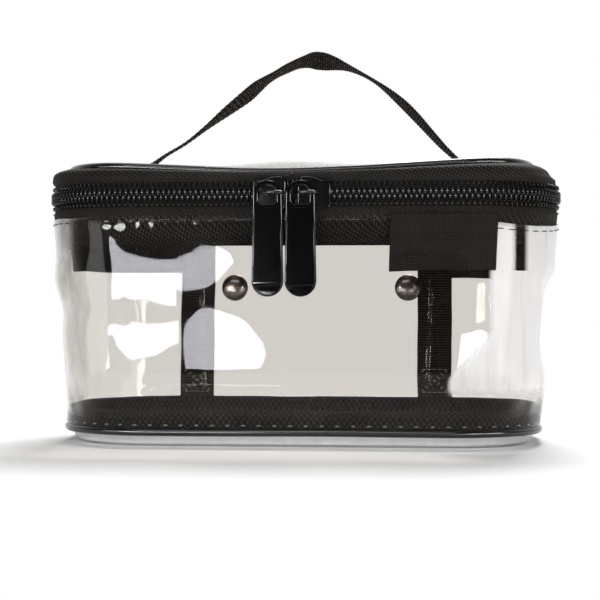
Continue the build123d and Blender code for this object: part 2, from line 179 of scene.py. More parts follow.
def lid_tuck(outward):
    """How far the lid's right end is drawn in."""
    return -3.6 * max(0.0, outward.x) ** 4


def edge_droop(distance):
    """How far the clear wall's top edge hangs down near its right end."""
    return -4.5 * hump(distance, front_distance(112), 40)


# Shader maths


class Wire:
    """A shader socket. Python maths on it adds Math nodes."""

    def __init__(self, finish, socket):
        self.finish, self.socket = finish, socket

    def maths(self, operation, *terms):
        return self.finish.node("Math", {"operation": operation}, dict(enumerate(terms)))

    def __add__(self, other):
        return self.maths("ADD", self, other)

    def __mul__(self, other):
        return self.maths("MULTIPLY", self, other)

    def __sub__(self, other):
        return self.maths("SUBTRACT", self, other)

    def __rsub__(self, other):
        return self.maths("SUBTRACT", other, self)

    def __pow__(self, other):
        return self.maths("POWER", self, other)

    __radd__ = __add__
    __rmul__ = __mul__

    def wave(self):
        return self.maths("SINE", self)

    def size(self):
        return self.maths("ABSOLUTE", self)

    def limit(self, low, high):
        return self.maths("MINIMUM", self.maths("MAXIMUM", self, low), high)


class Finish:
    """A material or a world, built node by node."""

    def __init__(self, name, kind="materials"):
        self.data = getattr(bpy.data, kind).new(name)
        self.data.use_nodes = True
        self.data.node_tree.nodes.clear()

    def node(self, kind, settings=None, inputs=None, output=0):
        """Adds one node: its settings first, then the values or links of its sockets."""
        node = self.data.node_tree.nodes.new("ShaderNode" + kind)
        for key, value in (settings or {}).items():
            setattr(node, key, value)
        for key, value in (inputs or {}).items():
            if isinstance(value, Wire):
                self.data.node_tree.links.new(value.socket, node.inputs[key])
            else:
                node.inputs[key].default_value = value
        return Wire(self, node.outputs[output]) if node.outputs else None

    def cloth_axes(self):
        """The piece's own lengthways and crossways measures, in millimetres."""
        uv = self.node("UVMap", {"uv_map": "cloth"})
        return tuple(self.node("SeparateXYZ", {}, {0: uv}, axis) for axis in (0, 1))

    def grain(self, scale, detail=2.0, stretch=(1.0, 1.0, 1.0)):
        """Noise from 0 to 1 on object coordinates, with the scale per metre."""
        place = self.node("TexCoord", {}, {}, 3)
        placed = self.node("Mapping", {}, {"Vector": place, "Scale": stretch})
        return self.node("TexNoise", {}, {"Vector": placed, "Scale": scale, "Detail": detail})

    def step(self, value, low, high):
        """Smooth step from 0 to 1 between two values."""
        inputs = {"Value": value, "From Min": low, "From Max": high}
        return self.node("MapRange", {"interpolation_type": "SMOOTHSTEP"}, inputs)

    def tint(self, share, colour, dark, light):
        """Mix of a darker and a lighter share of a colour."""
        inputs = {0: share, 6: (*shade(colour, dark), 1.0), 7: (*shade(colour, light), 1.0)}
        return self.node("Mix", {"data_type": "RGBA"}, inputs, 2)

    def place(self):
        """The three object coordinates, in metres."""
        spot = self.node("TexCoord", {}, {}, 3)
        return tuple(self.node("SeparateXYZ", {}, {0: spot}, axis) for axis in range(3))

    def mix(self, share, first, second):
        """Mix of two shaders."""
        return self.node("MixShader", {}, {0: share, 1: first, 2: second})

    def relief(self, height, depth, strength=1.0):
        """Bump of a depth in millimetres."""
        inputs = {"Height": height, "Distance": depth * TO_METRES, "Strength": strength}
        return self.node("Bump", {}, inputs)

    def principled(self, **inputs):
        """Principled shader, whose sockets are named as its arguments."""
        titles = (key.replace("_", " ").title().replace("Ior", "IOR") for key in inputs)
        return self.node("BsdfPrincipled", {}, dict(zip(titles, inputs.values())))

    def surface(self, **inputs):
        """Closes the material with one Principled shader."""
        return self.done(self.principled(**inputs))

    def done(self, shader, output="OutputMaterial"):
        """Joins the shader to the output and returns the material or world."""
        self.node(output, {}, {"Surface": shader})
        return self.data


def shade(colour, share):
    """Colour made darker or lighter by a share."""
    return tuple(min(1.0, c * share) for c in colour)


def clear_film():
    """See-through vinyl: mirror-like at glancing angles, milky where it is creased."""
    look = bpy.context.scene.bag_film
    finish = Finish("clear_film")
    facing = finish.node("LayerWeight", {}, {"Blend": 0.5}, 1)
    x, y, z = finish.place()
    step = finish.step

    # The base's turned-up edge mirrors the floor
    bend = step(z, 0.0072, 0.0058) - step(z, 0.0014, 0.0006)
    gloss = (facing**5.0 * (1.0 - look.gloss) + bend * 0.85 + look.gloss).limit(0.0, 1.0)
    dents = finish.relief(finish.grain(45.0, 1.5), 0.5, 0.12)
    mirror = finish.principled(base_color=WHITE, metallic=1.0, roughness=0.018, normal=dents)
    through = finish.node("BsdfTransparent", {}, {"Color": (*look.tint, 1.0)})

    # Creases at both ends of the walls, with a clear gap between two folds at the right
    streaks = finish.grain(190.0, 2.0, (1.0, 1.0, 0.08))
    spread = step(z, 0.056, 0.03) * 0.019
    right = step(x + spread, 0.0875, 0.0905) * step(z, 0.024, 0.029)
    gap = step((x - 0.1025).size() + step(z, 0.082, 0.076), 0.0015, 0.0045)
    left = step(x, -0.112, -0.119) * 0.5 + step(x, -0.104, -0.111) * step(z, 0.08, 0.09) * 0.5
    ends = step(y, 0.03, 0.0) * step(z, 0.122, 0.118)
    creased = (right * gap * (streaks * 0.9 + 0.4) + left * streaks) * ends + bend * streaks * 0.3
    cloud = finish.grain(35.0, 4.0, (1.0, 1.0, 0.35)) ** 3.0
    veil = (cloud * look.clouding + facing**3.0 * 0.2 + creased * look.haze).limit(0.0, 0.8)
    milk = finish.principled(base_color=(0.96, 0.95, 0.94, 1.0), roughness=0.35)
    return finish.done(finish.mix(veil, finish.mix(gloss, through, mirror), milk))


def woven(name, colour, pitch, slant=0.0, depth=0.12, lint=0.2):
    """Plain or slanting weave with a few pale fibres."""
    finish = Finish(name)
    along, across = finish.cloth_axes()
    step = math.pi / pitch
    warp = ((along + across * slant) * step).wave()
    weft = ((across - along * slant) * step).wave()
    threads = warp * weft * 0.5 + 0.5
    fuzz = finish.grain(1500.0, 2.0)
    worn = finish.grain(60.0, 3.0)
    tone = (threads * 0.8 + fuzz * lint + worn * 0.35 - 0.28).limit(0.0, 1.0) ** 2.0
    return finish.surface(
        base_color=finish.tint(tone, colour, 0.1, 4.0),
        roughness=0.8 - worn * 0.15,
        specular_ior_level=0.12,
        normal=finish.relief(threads + fuzz * 0.3, depth),
    )


def ribbed(name, colour, rib, depth=0.25):
    """Webbing: ribs across its width, each broken into threads."""
    finish = Finish(name)
    along, across = finish.cloth_axes()
    bow = (across * (math.pi / 3.0)).wave().size() * 0.25
    rib_height_and_shade = ((along + bow) * (math.pi / rib)).wave().size()
    threads = (across * (math.pi / 0.8)).wave() * 0.5 + 0.5
    fuzz = finish.grain(1300.0, 2.0)
    # The tone follows the ribs: crests are painted lighter and the grooves between them darker,
    # which is painted shade
    tone = (rib_height_and_shade * 0.85 + threads * rib_height_and_shade * 0.15 + fuzz * 0.1 - 0.25).limit(0.0, 1.0)
    return finish.surface(
        base_color=finish.tint(tone, colour, 0.1, 3.0),
        roughness=0.85,
        specular_ior_level=0.12,
        normal=finish.relief(rib_height_and_shade * (threads * 0.2 + 0.8), depth),
    )


def glossy(name, colour, roughness, wear=0.12, ripples=0.05, coat=0.0):
    """Smooth black plastic or enamel with faint handling marks."""
    finish = Finish(name)
    marks = finish.grain(180.0, 4.0)
    return finish.surface(
        base_color=finish.tint(marks, colour, 0.75, 1.5),
        roughness=marks * wear + (roughness - wear / 2),
        coat_weight=coat,
        coat_roughness=0.08,
        specular_ior_level=0.55,
        normal=finish.relief(marks, ripples),
    )


def nickel(name, colour):
    """Black nickel plating."""
    finish = Finish(name)
    marks = finish.grain(400.0, 4.0)
    return finish.surface(
        base_color=finish.tint(marks, colour, 0.8, 1.25),
        metallic=0.9,
        roughness=marks * 0.12 + 0.16,
        normal=finish.relief(marks, 0.02),
    )


FINISHES = {}


def finishes():
    """All the bag's materials, made once."""
    if not FINISHES:
        cloth = bpy.context.scene.bag_cloth
        zips = bpy.context.scene.bag_zip
        fabric, webbing = tuple(cloth.fabric), tuple(cloth.webbing)
        FINISHES.update(
            film=clear_film(),
            piping=glossy("piping", tuple(cloth.piping), 0.2, coat=0.3),
            binding=woven("binding", fabric, 1.5, 0.0, 0.5),
            band=woven("band_fabric", fabric, 1.05, 0.35, 0.2, 0.3),
            tape=woven("zip_tape", shade(fabric, 0.7), 0.9, 1.0, 0.1),
            label=woven("label_fabric", shade(fabric, 0.9), 1.0, 1.0, 0.12, 0.15),
            strap=ribbed("strap_webbing", webbing, STRAP_RIB),
            handle=ribbed("handle_webbing", webbing, RIB_PITCH, 0.15),
            coil=glossy("zip_coil", tuple(zips.coil), 0.16, 0.06, 0.02),
            slider=glossy("slider_enamel", tuple(zips.enamel), 0.12, 0.06, 0.02),
            pull=glossy("pull_enamel", tuple(zips.enamel), 0.06, 0.03, 0.004),
            snap=nickel("black_nickel", tuple(zips.stud)),
            thread=woven("sewing_thread", shade(fabric, 1.6), 0.4, 0.6, 0.05),
            # Thread sixteen times lighter than the fabric: a painted glint on the base and strap
            # stitches
            bright_thread=glossy("bright_thread", shade(fabric, 16.0), 0.35),
        )
    return FINISHES


# Meshes


def sheet(across, along, place, size):
    """Grid whose corners are placed by two shares, with its cloth measures in UV."""
    bm = bmesh.new()
    uv = bm.loops.layers.uv.new("cloth")
    bmesh.ops.create_grid(bm, x_segments=across, y_segments=along, size=1.0, calc_uvs=True)
    for face in bm.faces:
        for loop in face.loops:
            loop[uv].uv = (loop[uv].uv[0] * size[0], loop[uv].uv[1] * size[1])
    for vert in bm.verts:
        vert.co = place((vert.co.x + 1) / 2, (vert.co.y + 1) / 2)
    bmesh.ops.remove_doubles(bm, verts=bm.verts, dist=0.002)
    loose = [v for v in bm.verts if not v.link_faces]
    bmesh.ops.delete(bm, geom=loose, context="VERTS")
    bmesh.ops.recalc_face_normals(bm, faces=bm.faces)
    if any(edge.is_boundary for edge in bm.edges):
        facing = sum(
            f.normal.dot(f.calc_center_median() - BAG_MIDDLE) * f.calc_area() for f in bm.faces
        )
        if facing < 0:
            bmesh.ops.reverse_faces(bm, faces=bm.faces)
    return bm


def band(profile, start, end, segments, drift=None, rows=2, level_at=None):
    """Strip that follows the outline. The profile is a list of outsets and heights.

    With level_at, the outline is the one at that height all the way up.
    """

    def place(share, level):
        distance = start + (end - start) * share
        spot = level * (len(profile) - 1)
        low = min(int(spot), len(profile) - 2)
        part = spot - low
        outset, height = (a + (b - a) * part for a, b in zip(profile[low], profile[low + 1]))
        point, outward = around(distance, level_at or height, outset)
        point.z = height
        return point + drift(distance, point, outward, level) if drift else point

    length = sum(math.dist(a, b) for a, b in zip(profile, profile[1:]))
    return sheet(segments, rows * (len(profile) - 1), place, (end - start, length))


def ring_cord(height, outset, drift):
    """Closed round cord along the outline."""

    def place(share, level):
        distance = GIRTH * share
        point, outward = around(distance, height, outset)
        angle = 2 * math.pi * level
        offset = outward * math.cos(angle) + UP * math.sin(angle)
        return point + offset * PIPE_RADIUS + drift(distance, point, outward, level)

    return sheet(300, 14, place, (GIRTH, 2 * math.pi * PIPE_RADIUS))


def webbing_strip(rows, place, size):
    """Flat tube with closed ends, whose first cloth measure runs along it."""
    strip = sheet(24, rows, place, size)
    ends = [e for e in strip.edges if e.is_boundary]
    bmesh.ops.holes_fill(strip, edges=ends, sides=0)
    bmesh.ops.recalc_face_normals(strip, faces=strip.faces)
    uv = strip.loops.layers.uv["cloth"]
    for face in strip.faces:
        for loop in face.loops:
            loop[uv].uv = loop[uv].uv.yx
    return strip


def rod(points, radii, sides, across):
    """Round rod through points with a radius at each, and with closed ends."""
    points = [Vector(p) for p in points]
    last = len(points) - 1

    def place(share, level):
        index = round(level * (last + 2))
        spot = min(max(index - 1, 0), last)
        forward = (points[min(spot + 1, last)] - points[max(spot - 1, 0)]).normalized()
        side = forward.cross(across).normalized()
        up = forward.cross(side)
        grown = 0.0 if index in (0, last + 2) else radii[spot]
        angle = 2 * math.pi * share
        return points[spot] + (side * math.cos(angle) + up * math.sin(angle)) * grown

    length = sum((b - a).length for a, b in zip(points, points[1:]))
    return sheet(sides, last + 2, place, (2 * math.pi * max(radii), length))


def arc(centre, radius, start, end, steps):
    """Points of an arc in the XZ plane, with angles in degrees from +X towards +Z."""
    angles = (math.radians(start + (end - start) * i / steps) for i in range(steps + 1))
    return [(centre[0] + radius * math.cos(a), centre[1] + radius * math.sin(a)) for a in angles]


def plate(outlines, front, back, edge, segments=2):
    """Flat plate that stands in XZ, from its outline and any holes, with rounded edges."""
    bm = bmesh.new()
    for outline in outlines:
        verts = [bm.verts.new((x, back, z)) for x, z in outline]
        for a, b in zip(verts, verts[1:] + verts[:1]):
            bm.edges.new((a, b))
    bmesh.ops.triangle_fill(
        bm, use_beauty=True, use_dissolve=True, edges=bm.edges, normal=(0, 1, 0)
    )
    made = bmesh.ops.extrude_face_region(bm, geom=bm.faces[:])["geom"]
    bmesh.ops.translate(bm, vec=(0, front - back, 0), verts=verts_of(made))
    bmesh.ops.recalc_face_normals(bm, faces=bm.faces)
    rims = [
        e
        for e in bm.edges
        if abs(e.verts[0].co.y - e.verts[1].co.y) < 1e-4
        and len(e.link_faces) == 2
        and e.calc_face_angle() > math.radians(60)
    ]
    if edge:
        sizes = {"offset": edge, "segments": segments, "profile": 0.5}
        bmesh.ops.bevel(
            bm, geom=rims, affect="EDGES", material=-1, clamp_overlap=True, **sizes
        )
    return bm


def linked(name, data):
    """New object in the scene that holds the data."""
    piece = bpy.data.objects.new(name, data)
    bpy.context.scene.collection.objects.link(piece)
    return piece


def mesh_of(bm, name):
    """Mesh of a shape, which is used up."""
    mesh = bpy.data.meshes.new(name)
    bm.to_mesh(mesh)
    bm.free()
    return mesh


def verts_of(geometry):
    """The vertices among a bmesh operator's results."""
    return [part for part in geometry if isinstance(part, bmesh.types.BMVert)]


def combined(base, steps):
    """Shape after each solid in steps is added to it, or cut from it."""
    shapes = (base, *[shape for _, shape in steps])
    made = [linked("solid", mesh_of(shape, "solid")) for shape in shapes]
    for (operation, _), obj in zip(steps, made[1:]):
        step = made[0].modifiers.new(operation, "BOOLEAN")
        step.operation, step.solver, step.object = operation, "EXACT", obj
    bpy.context.view_layer.update()
    whole = made[0].evaluated_get(bpy.context.evaluated_depsgraph_get()).to_mesh()
    bm = bmesh.new()
    bm.from_mesh(whole)
    for obj in made:
        bpy.data.objects.remove(obj)
    bmesh.ops.remove_doubles(bm, verts=bm.verts, dist=0.001)
    return bm


def repeated(bm, places):
    """Copies the shape to each place and drops the first one."""
    first = bm.verts[:] + bm.edges[:] + bm.faces[:]
    for place in places:
        made = bmesh.ops.duplicate(bm, geom=first)["geom"]
        bmesh.ops.transform(bm, matrix=place, verts=verts_of(made))
    bmesh.ops.delete(bm, geom=verts_of(first), context="VERTS")
    return bm


def upright(point, outward):
    """Place whose X runs along the outline, Y points outwards and Z points up."""
    turn = Matrix((outward.cross(UP), outward, UP)).transposed().to_4x4()
    return Matrix.Translation(point) @ turn


def keep(
    bm, name, body, finish, nodes=(), wall=0.0, offset=0.0, smooth=60, rides=True, flat=False
):
    """Turns a shape into a finished piece that rides on its body.

    The wall is a thickness in millimetres, and smooth the largest angle that is shaded smooth.
    """
    bmesh.ops.scale(bm, vec=(TO_METRES,) * 3, verts=bm.verts)
    mesh = mesh_of(bm, name)
    mesh.materials.append(finishes()[finish])
    mesh.shade_smooth()
    mesh.set_sharp_from_angle(angle=math.radians(smooth))
    piece = linked(name, mesh)
    if wall:
        solid = piece.modifiers.new("Thickness", "SOLIDIFY")
        solid.thickness, solid.offset = wall * TO_METRES, offset
        solid.use_even_offset = True
    if flat:
        shading = piece.modifiers.new("Flat faces", "WEIGHTED_NORMAL")
        shading.weight, shading.keep_sharp = 100, True
    if nodes:
        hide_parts(*nodes)
    if rides:
        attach(piece, body)
    return piece


# One stitch: shares of its half length, rise in millimetres and shares of its width
STITCH = ((-1.0, 0, 0.3), (-0.8, 0.18, 0.5), (0.0, 0.28, 0.55), (0.8, 0.18, 0.5), (1.0, 0, 0.3))


def stitch_row(name, body, places, length, width=0.42, finish="thread"):
    """Row of short thread stitches, one at each place."""
    points = [(length / 2 * x, rise, 0) for x, rise, _ in STITCH]
    thread = rod(points, [width * radius for *_, radius in STITCH], 6, UP)
    return keep(repeated(thread, places), name, body, finish)


# Settings


def number(name, description, default):
    """Setting that holds a number."""
    return FloatProperty(name=name, description=description, default=default)


def factor(name, description, default):
    """Setting that holds a share from 0 to 1."""
    return FloatProperty(name=name, description=description, default=default, subtype="FACTOR")


def colour(name, description, default):
    """Setting that holds a colour."""
    return FloatVectorProperty(
        name=name, description=description, default=default, subtype="COLOR"
    )


class BagFilm(bpy.types.PropertyGroup):
    """The clear vinyl."""

    wall: number("Wall", "Thickness of the film in millimetres", 0.6)
    tint: colour("Tint", "Share of light that one surface lets through", (0.905, 0.894, 0.880))
    gloss: factor("Gloss", "Share of light that one surface reflects, seen square on", 0.011)
    clouding: factor("Clouding", "How milky the film is in its cloudy places", 0.012)
    haze: factor("Haze", "How white the creased ends of the film are", 0.9)
    slack: number("Slack", "How far the front film waves, in millimetres", 0.25)
    belly: number("Belly", "How far the front film bulges, in millimetres", 5.0)


class BagCloth(bpy.types.PropertyGroup):
    """Fabrics, binding, piping and webbing."""

    fabric: colour("Fabric", "Colour of the woven bands and bindings", (0.0168, 0.0146, 0.0114))
    webbing: colour("Webbing", "Colour of the straps and the handle", (0.0250, 0.0200, 0.0160))
    piping: colour("Piping", "Colour of the vinyl piping", (0.005, 0.005, 0.005))
    sag: number("Sag", "How far the lid's front edge sags, in millimetres", 3.2)


class BagZip(bpy.types.PropertyGroup):
    """Zip, sliders, pulls and press studs."""

    pitch: number("Pitch", "Step of the coil's turns in millimetres", 2.5)
    turns: IntProperty(name="Turns", description="Turns in each row of the coil", default=193)
    coil: colour("Coil", "Colour of the coil", (0.003, 0.003, 0.003))
    enamel: colour("Enamel", "Colour of the sliders and pulls", (0.003, 0.003, 0.003))
    stud: colour("Press stud", "Colour of the plated press studs", (0.17, 0.15, 0.135))


class BagStudio(bpy.types.PropertyGroup):
    """Floor, light and camera."""

    floor: colour("Floor", "Colour of the floor", (0.92, 0.92, 0.92))
    lens: number("Lens", "Focal length in millimetres", 91.9)
    turn: number("Turn", "How far the camera stands round to the right, in degrees", 5.0)
    sky: number("Sky", "Strength of the light from all round", 0.18)
    front: number("Front", "How bright the room behind the camera mirrors", 0.02)
    key: number("Key", "Power of the main softbox in watts", 3.5)
    shine: number("Shine", "Radiance of the small boxes that the film mirrors", 24.0)


# Pieces


class BAG_OT_clear_walls(bpy.types.Operator):
    """Clear film round the front and sides, and across the back"""

    bl_idname = "toiletry_bag.clear_walls"
    bl_label = "Clear Walls"

    def execute(self, context):
        film = context.scene.bag_film

        def slack(distance, point, outward, level):
            """Waves of the loose film, still at its seams."""
            free = ramp(level, 0.0, 0.14) * ramp(1.0 - level, 0.12, 0.3)
            from_seam = min(distance, GIRTH - distance) - STRAP_X
            ends = ramp(from_seam, 0, 25)
            front = hump(point.y, -TOP_DEPTH / 2, 30)
            lean = abs(outward.x)
            folds = ripple_at(distance, point.z * 0.4, 11, 3) * lean * 1.7
            waves = ripple(point, 58, 1) + 0.16 * ripple(point, 21, 2)
            swell = (4.2 if outward.x < 0 else 2.2) * (lean**2 - lean**4) * hump(point.z, 34, 34)
            if outward.x < 0:
                side = 2.2 * hump(point.z, 82, 16) - 2.5 * hump(point.z, 64, 9)
            else:
                side = -4.6 * ramp(point.z, 84, 72) * ramp(point.z, 28, 54)
            hang = min(1.0, (FILM_TOP - point.z) / (FILM_TOP - 35))
            belly = film.belly * front * hang * ramp(point.z, 12, 34) * ends
            push = (waves * film.slack + folds + swell + side * lean**4) * free * ends + belly
            near = 1 - ramp(from_seam, 12, 45)
            push += foot_spread(outward, point.z) - back_lean(point.z) * near
            rim = ramp(level, 0.9, 1.0)
            droop = edge_droop(distance) * rim
            flutter = 0.7 * ripple_at(distance, 0, 15, 5) * rim
            sewn = math.cos(math.pi * distance / 6.6) ** 2 * hump(level, 0.972, 0.014)
            crimp = 0.13 * ripple_at(distance, point.z, 2.6, 6) * ramp(level, 0.96, 0.98)
            return outward * (push + crimp - 0.28 * sewn) + UP * (droop + flutter)

        steps = 44
        heights = (FILM_BOTTOM + (FILM_TOP - FILM_BOTTOM) * i / steps for i in range(steps + 1))
        profile = [(FILM_OUTSET, height) for height in heights]
        wall = band(profile, STRAP_X, GIRTH - STRAP_X, 480, slack, 1)
        keep(wall, "side_film", "bag", "film", ["side_wall"], film.wall)

        def calm(distance, point, outward, level):
            """Inward lean of the back film above the base seam, still at the studs."""
            from_seam = min(abs(point.x - STRAP_X), abs(point.x + STRAP_X)) - STRAP_WIDTH / 2
            dent = 0.12 * ripple(point, 50, 4) * ramp(point.z, 17.5, 40) * ramp(from_seam, 0, 18)
            studs = 1 - hump(point.z, STUD_HEIGHT, 12) * sum(hump(point.x, x, 12) for x in STUDS_X)
            return -outward * (back_lean(point.z) + dent * max(0.0, studs))

        back = band(profile, -STRAP_X, STRAP_X, 60, calm, 1)
        keep(back, "back_film", "bag", "film", ["back_wall"], film.wall)
        return {"FINISHED"}


class BAG_OT_base(bpy.types.Operator):
    """Clear base tray, its piping and the woven binding over the seam"""

    bl_idname = "toiletry_bag.base"
    bl_label = "Base"

    def execute(self, context):
        film = context.scene.bag_film
        curve = [(-0.1, 14.0), (-0.1, 8.2), (-1.2, 5.6), (-2.4, 3.0), (-4.2, 1.3), (-7.0, 0.6)]
        curve += [(-22.0, 0.45), (-35.0, 0.4)]

        def spread(distance, point, outward, level):
            return outward * foot_spread(outward, point.z)

        tray = band(curve, 0, GIRTH, 240, spread, 2)
        rim = [e for e in tray.edges if e.is_boundary and e.verts[0].co.z < 1]
        bmesh.ops.holes_fill(tray, edges=rim, sides=0)
        keep(tray, "base_tray", "bag", "film", ["base_panel"], film.wall, -1.0)

        def cord_line(distance, point, outward, level):
            rise = 0.35 * ripple_at(distance, 0, 60, 6)
            return outward * foot_spread(outward, point.z) + UP * rise

        cord = ring_cord(7.2, 0.7, cord_line)
        keep(cord, "base_cord", "bag", "piping", ["base_piping"])

        def puffed(distance, point, outward, level):
            lump = 0.25 * ripple_at(distance, point.z, 22, 8)
            rise = 2.2 * lump * ramp(point.z, 12, 17)
            return outward * (lump + foot_spread(outward, point.z)) + UP * rise

        profile = [(0.75, 7.9), (0.95, 10.5), (0.8, 14.0), (0.45, 16.5), (-0.35, 17.3)]
        profile += [(-1.15, 16.5), (-1.35, 13.0), (-1.3, 8.6)]
        binding = band(profile, 0, GIRTH, 300, puffed, 2)
        keep(binding, "base_tape", "bag", "binding", ["base_binding"], 0.55)
        return {"FINISHED"}


class BAG_OT_bands(bpy.types.Operator):
    """Woven bands behind the clear wall's top edge"""

    bl_idname = "toiletry_bag.bands"
    bl_label = "Bands"

    def execute(self, context):
        def soft(distance, point, outward, level):
            return outward * 0.12 * ripple(point, 16, 9)

        def edge(distance, point, outward, level):
            wander = 0.6 * ripple_at(distance, 0, 24, 10) * (1 - level)
            return outward * 0.1 * ripple(point, 18, 11) + UP * wander

        outer = [(0.35, 97.5), (0.4, 101.0), (0.45, 107.5), (0.5, 108.8), (0.2, 110.6)]
        outer += [(-0.1, 111.4)]
        fabric = band(outer, 0, GIRTH, 260, soft)
        keep(fabric, "zip_band", "bag", "band", ["lower_zip_band"], 0.7)

        def facing_edge(distance, point, outward, level):
            back = ramp(point.y, 40, 50) * ramp(55 - abs(point.x), 0, 1.5)
            return edge(distance, point, outward, level) + UP * (4 * back * (1 - level))

        inner = [(-1.2, 94.0), (-1.2, 100.0), (-1.2, 106.0)]
        facing = band(inner, 0, GIRTH, 260, facing_edge)
        keep(facing, "top_facing", "bag", "band", ["inner_top_band"], 0.7)
        start = STRAP_X + STRAP_WIDTH / 2
        end = start + CORNER_RUN + STRAIGHT_X - STRAP_X
        for side, foot, ends in (
            ("left", 83.0, (start, end)),
            ("right", 80.0, (GIRTH - end, GIRTH - start)),
        ):
            facing = band([(-0.4, foot), (-0.4, 91.0), (-0.4, 102.5)], *ends, 60, edge)
            name, node = f"{side}_corner_facing", f"{side}_corner_band"
            keep(facing, name, "bag", "band", [node], 0.7)
        return {"FINISHED"}


class BAG_OT_straps(bpy.types.Operator):
    """Webbing straps over the seams of the back"""

    bl_idname = "toiletry_bag.straps"
    bl_label = "Back Straps"

    def execute(self, context):
        for side, sign, seed in (("left", -1, 12), ("right", 1, 13)):

            def place(share, level):
                height = STRAP_FOOT + (STRAP_TOP - STRAP_FOOT) * level
                edge = 2 * math.pi * share
                over = math.copysign(abs(math.cos(edge)) ** 0.5, math.cos(edge)) * STRAP_WIDTH / 2
                thick = math.sin(edge) * (0.62 + 0.12 * abs(math.sin(math.pi * height / STRAP_RIB)))
                waver = 0.45 * ripple_at(0, height, 14, seed)
                back = outline_at(height)[1] / 2 + 2.2
                y = back + thick + 0.15 * ripple_at(over, height, 20, seed)
                return Vector((sign * STRAP_X + over + waver, y, height))

            strap = webbing_strip(360, place, (40.0, STRAP_TOP - STRAP_FOOT))
            keep(strap, f"{side}_strap", "bag", "strap", [f"{side}_back_strap"])
        return {"FINISHED"}


def stud_place(x, outset):
    """Place on the sloping back wall: Z points into the bag."""
    slope = (TOP_DEPTH - STATIONS[0][2]) / 2 / (STATIONS[1][0] - STATIONS[0][0])
    inward = Vector((0, -1, slope)).normalized()
    across = Vector((1, 0, 0))
    turn = Matrix((across, inward.cross(across), inward)).transposed().to_4x4()
    origin = Vector((x, outline_at(STUD_HEIGHT)[1] / 2 + outset, STUD_HEIGHT))
    return Matrix.Translation(origin) @ turn


def turned_part(profile):
    """Solid of revolution about Z from a profile of radii and heights."""

    def place(share, level):
        spot = min(int(level * (len(profile) - 1) + 0.5), len(profile) - 1)
        radius, height = profile[spot]
        angle = 2 * math.pi * share
        return Vector((radius * math.cos(angle), radius * math.sin(angle), height))

    return sheet(40, len(profile) - 1, place, (1.0, 1.0))


class BAG_OT_press_studs(bpy.types.Operator):
    """Domed caps inside the back wall and the studs outside it"""

    bl_idname = "toiletry_bag.press_studs"
    bl_label = "Press Studs"

    def execute(self, context):
        dome = [(0.0, -2.2), (1.8, -2.2), (1.8, 0.0), (6.6, 0.0), (7.0, 0.35), (6.85, 0.8)]
        dome += [(6.3, 1.4), (5.4, 1.95), (4.2, 2.4), (2.8, 2.68), (1.4, 2.8), (0.0, 2.84)]
        caps = repeated(turned_part(dome), [stud_place(x, 0.8) for x in STUDS_X])
        keep(caps, "stud_caps", "bag", "snap", ["snap_caps"])
        stud = [(1.9, 0.0), (4.5, 0.0), (4.7, -0.25), (4.7, -0.65), (4.4, -0.9), (3.5, -0.95)]
        stud += [(3.05, -1.3), (3.0, -1.9), (3.2, -2.3), (3.15, -2.7), (2.7, -3.0), (0.0, -3.0)]
        stud += [(0.0, -2.25), (1.9, -2.25), (1.9, 0.0)]
        studs = repeated(turned_part(stud), [stud_place(x, 1.4) for x in STUDS_X])
        keep(studs, "stud_posts", "bag", "snap", ["snap_studs"])
        return {"FINISHED"}


class BAG_OT_label(bpy.types.Operator):
    """Bare woven label, sewn along its top edge"""

    bl_idname = "toiletry_bag.label"
    bl_label = "Label"

    def execute(self, context):
        (left, right), (bottom, top) = LABEL_X, LABEL_Z

        def place(share, level):
            height = bottom + (top - bottom) * level
            distance = front_distance(left + (right - left) * share)
            hang = (1 - level) ** 1.6
            lift = 0.35 + hang * (0.5 + 1.1 * hump(share, 1.0, 0.25))
            lift += 0.3 * hang * ripple_at(distance, height, 22, 14)
            point = around(distance, height, 1.4 + lift)[0]
            waver = 0.25 * ripple_at(distance, height, 9, 15)
            return point + UP * (waver - 0.6 * hump(share, 0.0, 0.3) * (1 - level))

        tag = sheet(60, 30, place, (right - left, top - bottom))
        piece = keep(
            tag, "woven_label", "bag", "label", ["label_tab"], 0.6, 1.0
        )
        return {"FINISHED"}


# A slider's channel narrows between these distances from the sliders' meeting place
WIDE_END, NARROW_START = 8.3, 14.0


def coil_parting(x, side):
    """How far the coil's rows stand apart from their closed place, by the front's x."""
    away = abs(x - MEETING_X)
    share = min(1.0, max(0.0, (NARROW_START - away) / (NARROW_START - WIDE_END)))
    rise = 2.4 if side > 0 else 0.6
    return 1.9 * share + rise * hump(away, 0.0, 2.6)


class BAG_OT_zip_tapes(bpy.types.Operator):
    """Herringbone tapes above and below the coil"""

    bl_idname = "toiletry_bag.zip_tapes"
    bl_label = "Zip Tapes"

    def execute(self, context):
        def soft(distance, point, outward, level):
            return outward * (0.1 * ripple(point, 12, 16) - 0.1)

        lower = [(-0.35, 103.0), (-0.4, 108.0), (-0.35, 112.0), (-0.3, 115.5)]
        upper = [(-0.3, 118.5), (-0.35, 122.0), (-0.35, 125.2), (-0.5, 127.2)]
        for name, body, profile in (("lower", "bag", lower), ("upper", "lid", upper)):
            tape = band(profile, TAPE_START, GIRTH - TAPE_START, 260, soft)
            keep(tape, f"{name}_tape", body, "tape", [f"{name}_zip_tape"], 0.5)
        return {"FINISHED"}


# One turn of the coil: place along the zip, outwards and from its middle line, and radius
TURN = (
    (1.0, 0.2, 5.3, 0.30),
    (0.9, 1.1, 5.0, 0.46),
    (0.6, 1.3, 4.4, 0.46),
    (0.3, 0.4, 3.8, 0.34),
    (0.1, 0.2, 3.0, 0.34),
    (0.0, 1.5, 2.4, 0.46),
    (0.0, 1.8, 1.9, 0.50),
    (0.0, 1.8, 0.0, 0.50),
    (0.0, 1.0, -0.6, 0.35),
)


